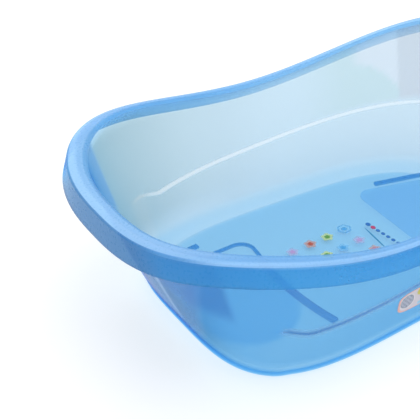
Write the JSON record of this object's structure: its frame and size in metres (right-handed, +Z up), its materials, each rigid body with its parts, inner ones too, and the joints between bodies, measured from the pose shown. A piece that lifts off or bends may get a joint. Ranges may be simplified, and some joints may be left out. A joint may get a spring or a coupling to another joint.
{
  "type": "baby bathtub",
  "caption": "Long translucent moulded baby bathtub with a waved, turned-down rim, sloping ends, a non-slip seat mat and a lift-out drain plug.",
  "frame": {"origin": "on the ground under the middle of the rim", "axes": "+X along the tub towards the drain end, +Y across it, +Z up"},
  "size_m": [0.8292, 0.5186, 0.2677],
  "materials": {
    "tub_plastic": "translucent satin gloss",
    "mat_rubber": "soft satin",
    "plug_rubber": "soft satin",
    "print_film": "printed film",
    "label_film": "printed film"
  },
  "bodies": {
    "tub": {"tub_shell": "tub_plastic", "seat_mat": "mat_rubber", "floor_print": "print_film", "side_label": "label_film"},
    "plug": {"drain_plug": "plug_rubber"}
  },
  "joints": [
    {"name": "plug_lift", "type": "slide", "parent": "tub", "child": "plug", "axis": [0, 0, 1], "range_m": [0, 0.06]}
  ]
}
